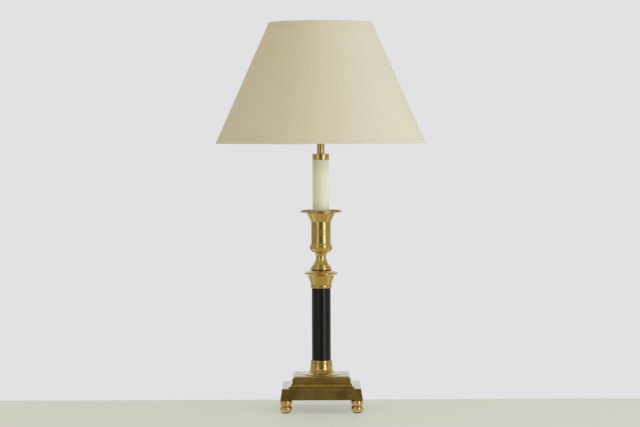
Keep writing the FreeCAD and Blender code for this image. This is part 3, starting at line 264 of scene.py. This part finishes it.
by_slot = {
    "brass": brass_turned,
    "iron": metal("cast_iron", (0.20, 0.19, 0.18), (0.10, 0.09, 0.085), 0.5),
    "steel": metal("zinc_steel", (0.60, 0.60, 0.58), (0.44, 0.43, 0.40), 0.24),
    "black_paint": enamel(),
    "ivory": ivory(),
    "black_plastic": phenolic(),
    "white_plastic": backing(),
    "white_paint": painted("white_paint", (0.80, 0.79, 0.75), (0.70, 0.68, 0.62)),
    "paper": fibres("liner_paper", (0.46, 0.38, 0.26), (0.34, 0.27, 0.17), (900, 900, 60)),
    "board": fibres("pressed_board", (0.17, 0.095, 0.045), (0.10, 0.052, 0.024), (140, 700, 700)),
    "glass": opal(),
    "aluminium": metal("aluminium", (0.80, 0.80, 0.80), (0.64, 0.64, 0.65), 0.22, (1, 1, 6)),
}
by_node = {"base_casting": brass_cast, "base_plate": brass_plate, "drip_pan": brass_pan}
for name in ("foot_front_left", "foot_front_right", "foot_rear_left", "foot_rear_right"):
    by_node[name] = brass_feet_painted_warmth
for name in ("harp_saddle", "harp_wire", "harp_block", "harp_ferrule_left", "harp_ferrule_right",
             "harp_stud", "holder_shell", "holder_cap", "centre_contact"):
    by_node[name] = brass_sheet
for name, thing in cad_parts.items():
    slot_name = thing.material_slots[0].material.name
    if name in by_node or slot_name in by_slot:
        thing.material_slots[0].material = by_node.get(name) or by_slot[slot_name]

# ---------------------------------------------------------------- shade

FABRIC_LIGHT, FABRIC_DARK = (0.665, 0.622, 0.495), (0.635, 0.590, 0.462)
fabric = woven("shade_cloth", FABRIC_LIGHT, FABRIC_DARK)
tape = woven("hem_cloth", FABRIC_LIGHT, FABRIC_DARK, 4300.0)

TOP_RADIUS, BOTTOM_RADIUS = 0.0884, 0.1800
PANEL = 0.0015                  # cloth and liner together
shade_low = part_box("shade_bottom_trim")[0].z
shade_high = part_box("shade_top_trim")[1].z
slope = (BOTTOM_RADIUS - TOP_RADIUS) / (shade_high - shade_low)
lean = math.sin(math.atan(slope))
SEAM_TURN = math.radians(96)    # the seam is at the rear, a little to one side
SLICES = 420


def cone(height, inset=0.0):
    """Radius of the cloth's outside at a height, less an inset."""
    return TOP_RADIUS + (shade_high - height) * slope - inset


def smooth(value):
    value = min(1.0, max(0.0, value))
    return value * value * (3 - 2 * value)


def wrapped(name, profile, overlap, thickness, waviness, material):
    """Cloth wound once round the axis along a profile of (radius, height), its end glued
    over its start. The texture coordinates are those of the flat cut, a fan."""
    sides = []
    for number, (radius, height) in enumerate(profile):
        before = profile[max(number - 1, 0)]
        after = profile[min(number + 1, len(profile) - 1)]
        along = Vector((after[0] - before[0], after[1] - before[1])).normalized()
        sides.append(Vector((along.y, -along.x)))
    run = [0.0]
    for first, second in zip(profile, profile[1:]):
        run.append(run[-1] + math.dist(first, second))
    widest = max(radius for radius, _ in profile)
    extra = overlap / widest
    points, flat = [], []
    for slice_number in range(SLICES + 1):
        turn = (math.tau + extra) * slice_number / SLICES
        angle = SEAM_TURN + turn
        # The end rises over the start just before it gets there.
        lift = smooth((turn - math.tau + extra * 0.4) / (extra * 0.5)) * thickness * 1.15
        for (radius, height), side, length in zip(profile, sides, run):
            wave = waviness * (math.sin(angle * 7 + height * 60) + 0.6 * math.sin(angle * 19 + 1.3)
                               + 0.5 * math.sin(angle * 43 + height * 210))
            out = radius + side.x * (lift + wave)
            points.append((out * math.cos(angle), out * math.sin(angle),
                           height + side.y * (lift + wave)))
            spoke = (widest / lean) - (run[-1] - length)
            fan = (turn - (math.tau + extra) / 2) * lean
            flat.append((spoke * math.sin(fan), spoke * math.cos(fan)))
    rows = len(profile)
    faces = []
    for slice_number in range(SLICES):
        for row in range(rows - 1):
            corner = slice_number * rows + row
            faces.append((corner, corner + rows, corner + rows + 1, corner + 1))
    mesh = bpy.data.meshes.new(name)
    mesh.from_pydata(points, [], faces)
    cut = mesh.uv_layers.new(name="flat_cut")
    for loop in mesh.loops:
        cut.data[loop.index].uv = flat[loop.vertex_index]
    mesh.shade_smooth()
    mesh.materials.append(material)
    thing = bpy.data.objects.new(name, mesh)
    bpy.context.scene.collection.objects.link(thing)
    solid = thing.modifiers.new("thickness", "SOLIDIFY")
    solid.thickness = thickness
    solid.offset = -1.0
    return thing


CLOTH = 0.0004
COVER_OVERLAP = 0.010           # width of the glued seam
COVER_WAVE = 0.00007            # unevenness of the stretched cloth
COVER_ROWS = 24
EDGE = 0.0009                   # the cloth ends this far inside the hems' edges
cover_low, cover_high = shade_low + EDGE, shade_high - EDGE
cover_heights = [cover_low + (cover_high - cover_low) * row / COVER_ROWS
                 for row in range(COVER_ROWS + 1)]
cover = wrapped("shade_cover", [(cone(height), height) for height in cover_heights],
                COVER_OVERLAP, CLOTH, COVER_WAVE, fabric)
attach(cover, "shade")
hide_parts("shade_fabric")


def arc(centre, radius, start, end, steps):
    """Points of an arc in the (radius, height) plane, angles in degrees."""
    angles = [math.radians(start + (end - start) * step / steps) for step in range(steps + 1)]
    return [(centre[0] + radius * math.cos(a), centre[1] + radius * math.sin(a)) for a in angles]


def band(start, end, lift, thin, steps=12):
    """The hem's outer side along the cone between two heights. It thins out at the edge on
    the cloth, the start or the end."""
    points = []
    for step in range(steps + 1):
        share = step / steps
        inward = smooth((share if thin == "start" else 1 - share) * 3)
        height = start + (end - start) * share
        points.append((cone(height) + lift * (0.35 + 0.65 * inward), height))
    return points


TAPE = 0.0003
TAPE_OVERLAP = 0.008
TAPE_WAVE = 0.00004
LIFT = TAPE + 0.00016           # the hem's outside over the cone
HEM = 0.0066                    # height of the hem
BARE = 0.0001                   # between the hem's inner end and the liner
WIRE = 0.0016                   # radius of the wire rings
ring_low, ring_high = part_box("shade_bottom_ring")
low_wire = ((ring_high.x - ring_low.x) / 2 - WIRE, (ring_low.z + ring_high.z) / 2)
wrap = WIRE + TAPE + 0.00025    # radius of the tape round a wire
bottom_hem = wrapped("shade_hem_bottom", [
    (cone(low_wire[1] + 0.0042) - PANEL - BARE, low_wire[1] + 0.0042),
    *arc(low_wire, wrap, 60, 268, 14),
    (cone(shade_low) - 0.0010, shade_low + 0.0002),
    (cone(shade_low) - 0.0001, shade_low + 0.0003),
    *band(shade_low + EDGE, shade_low + HEM, LIFT, "end"),
], TAPE_OVERLAP, TAPE, TAPE_WAVE, tape)
upper_z = shade_high - 0.0017
upper_wire = (cone(upper_z, PANEL) - WIRE * math.sqrt(1 + slope * slope) - 0.0001, upper_z)
top_hem = wrapped("shade_hem_top", [
    *band(shade_high - HEM, shade_high - 0.0008, LIFT, "start"),
    (cone(shade_high) - 0.0001, shade_high + 0.0001),
    (cone(shade_high) - 0.0010, shade_high + 0.0003),
    *arc(upper_wire, wrap, 88, 296, 14),
    (cone(upper_z - 0.0040) - PANEL - BARE, upper_z - 0.0040),
], TAPE_OVERLAP, TAPE, TAPE_WAVE, tape)
for hem, node in ((bottom_hem, "shade_bottom_trim"), (top_hem, "shade_top_trim")):
    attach(hem, "shade")
    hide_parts(node)

# ---------------------------------------------------------------- floor

LEDGE_SIDE = 1.8                # from the middle to either end
LEDGE_BACK = 0.147              # the ledge ends close behind the lamp, as in the photograph
LEDGE_SPLIT = -0.12             # the brass mirrors only what is behind this line
LEDGE_FRONT = -0.353
GLOW_SHARE = 0.65


def ray_kinds(look):
    """Whether a ray comes by way of metal or glass, and whether it is the camera's own."""
    rays = look.add("LightPath").outputs
    bent = look.math("MAXIMUM", rays["Is Glossy Ray"], rays["Is Transmission Ray"])
    return bent, rays["Is Camera Ray"]


def ledge_paint():
    """Pale paint. Most of what the camera and the polished brass see of it is an even glow,
    and the rest takes the lamp's shadow."""
    look = Look("pale_ledge", IOR=1.4)
    look.set(Base_Color=look.blend(look.noise(7.0), (0.80, 0.83, 0.83), (0.82, 0.85, 0.85)),
             Roughness=look.spread(look.noise(14.0), 0.3, 0.7, 0.42, 0.48))
    share = look.math("MULTIPLY", look.math("MAXIMUM", *ray_kinds(look)), GLOW_SHARE)
    glow = look.add("Emission", (0.605, 0.605, 0.53), 1.0)
    mixed = look.add("MixShader", share, look.shader.outputs[0], glow.outputs[0])
    look.feed(look.tree.nodes["Material Output"].inputs["Surface"], mixed.outputs[0])
    return look.material


def ledge(name, front, back, material):
    mesh = bpy.data.meshes.new(name)
    corners = [(-LEDGE_SIDE, front, 0), (LEDGE_SIDE, front, 0),
               (LEDGE_SIDE, back, 0), (-LEDGE_SIDE, back, 0)]
    mesh.from_pydata(corners, [], [(0, 1, 2, 3)])
    mesh.materials.append(material)
    thing = bpy.data.objects.new(name, mesh)
    bpy.context.scene.collection.objects.link(thing)
    return thing


pale = ledge_paint()
ledge("ledge", LEDGE_SPLIT, LEDGE_BACK, pale)
ledge("ledge_front", LEDGE_FRONT, LEDGE_SPLIT, pale).visible_glossy = False

# ---------------------------------------------------------------- room and lamps

WALL = (0.76, 0.76, 0.78)


class Room(Look):
    """The same short hands for the world's tree."""

    def __init__(self, name):
        world = bpy.data.worlds.new(name)
        bpy.context.scene.world = world
        world.use_nodes = True
        self.tree = world.node_tree
        self.tree.nodes.clear()


def furnish(room):
    """Soft light all round, and the plain wall for the camera. Metal and glass mirror the wall
    behind the lamp and a room that is dark in the middle of the viewer's side."""
    toward = room.add("SeparateXYZ", room.add("TexCoord").outputs["Generated"])
    right, away, up = toward.outputs
    soft = room.blend(room.spread(right, -0.9, 0.9), (0.73, 0.67, 0.545), (0.77, 0.73, 0.635))
    viewer = (0.070, 0.055, 0.034)
    for value, low, high, tone in (
            (right, -0.14, -0.55, (0.38, 0.335, 0.23)),      # the left side
            (right, 0.1, 0.5, (0.45, 0.435, 0.39)),          # the right side
            (up, 0.0, -0.16, (0.19, 0.155, 0.09)),           # under eye level
            (up, 0.30, 0.46, (0.40, 0.36, 0.26)),            # the upper wall
            (up, 0.70, 0.85, (0.20, 0.17, 0.11)),            # the ceiling
            (up, -0.2, -0.5, (0.46, 0.39, 0.23))):           # the floor
        viewer = room.blend(room.spread(value, low, high), viewer, tone)
    mirrored = room.blend(room.spread(away, 0.45, 0.92), viewer, WALL)
    bent, direct = ray_kinds(room)
    seen = room.blend(direct, room.blend(bent, soft, mirrored), WALL)
    sky = room.add("Background", seen, 1.0)
    out = room.add("OutputWorld")
    room.feed(out.inputs["Surface"], sky.outputs[0])


furnish(Room("room"))

HALF_HEIGHT = 0.32              # near the middle of the object


def lamp(name, azimuth, distance, height, wide, tall, power, colour, mirrored=True):
    """Soft box at an azimuth in degrees to the camera's right, turned to the object."""
    light = bpy.data.lights.new(name, "AREA")
    light.shape = "RECTANGLE"
    light.size, light.size_y = wide, tall
    light.energy = power
    light.color = colour
    thing = bpy.data.objects.new(name, light)
    bpy.context.scene.collection.objects.link(thing)
    angle = math.radians(azimuth)
    thing.location = (math.sin(angle) * distance, -math.cos(angle) * distance, height)
    aim = Vector((0, 0, HALF_HEIGHT)) - thing.location
    thing.rotation_mode = "QUATERNION"
    thing.rotation_quaternion = aim.to_track_quat("-Z", "Y")
    thing.visible_camera = False
    thing.visible_glossy = mirrored


lamp("window", 40, 2.3, 0.5, 0.5, 2.3, 9.5, (0.95, 0.98, 1.0))
lamp("window_left", -37, 2.3, 0.5, 0.55, 2.3, 2.6, (1.0, 0.93, 0.80))
lamp("soft_right", 66, 1.8, 0.38, 0.8, 0.9, 12.0, (0.56, 0.73, 1.0), mirrored=False)

# ---------------------------------------------------------------- camera

CAMERA_PLACE = (-0.0016, -4.2, 0.485)
CAMERA_DIP = 2.019              # degrees down from level
CAMERA_ROLL = -0.2              # degrees
CAMERA_LENS = 137.66
camera = bpy.data.objects.new("camera", bpy.data.cameras.new("camera"))
bpy.context.scene.collection.objects.link(camera)
camera.data.sensor_width = 36.0
camera.data.lens = CAMERA_LENS
camera.matrix_world = (Matrix.Translation(CAMERA_PLACE)
                       @ Matrix.Rotation(math.radians(90 - CAMERA_DIP), 4, "X")
                       @ Matrix.Rotation(math.radians(CAMERA_ROLL), 4, "Z"))
bpy.context.scene.camera = camera
bpy.context.scene.view_settings.view_transform = "Standard"
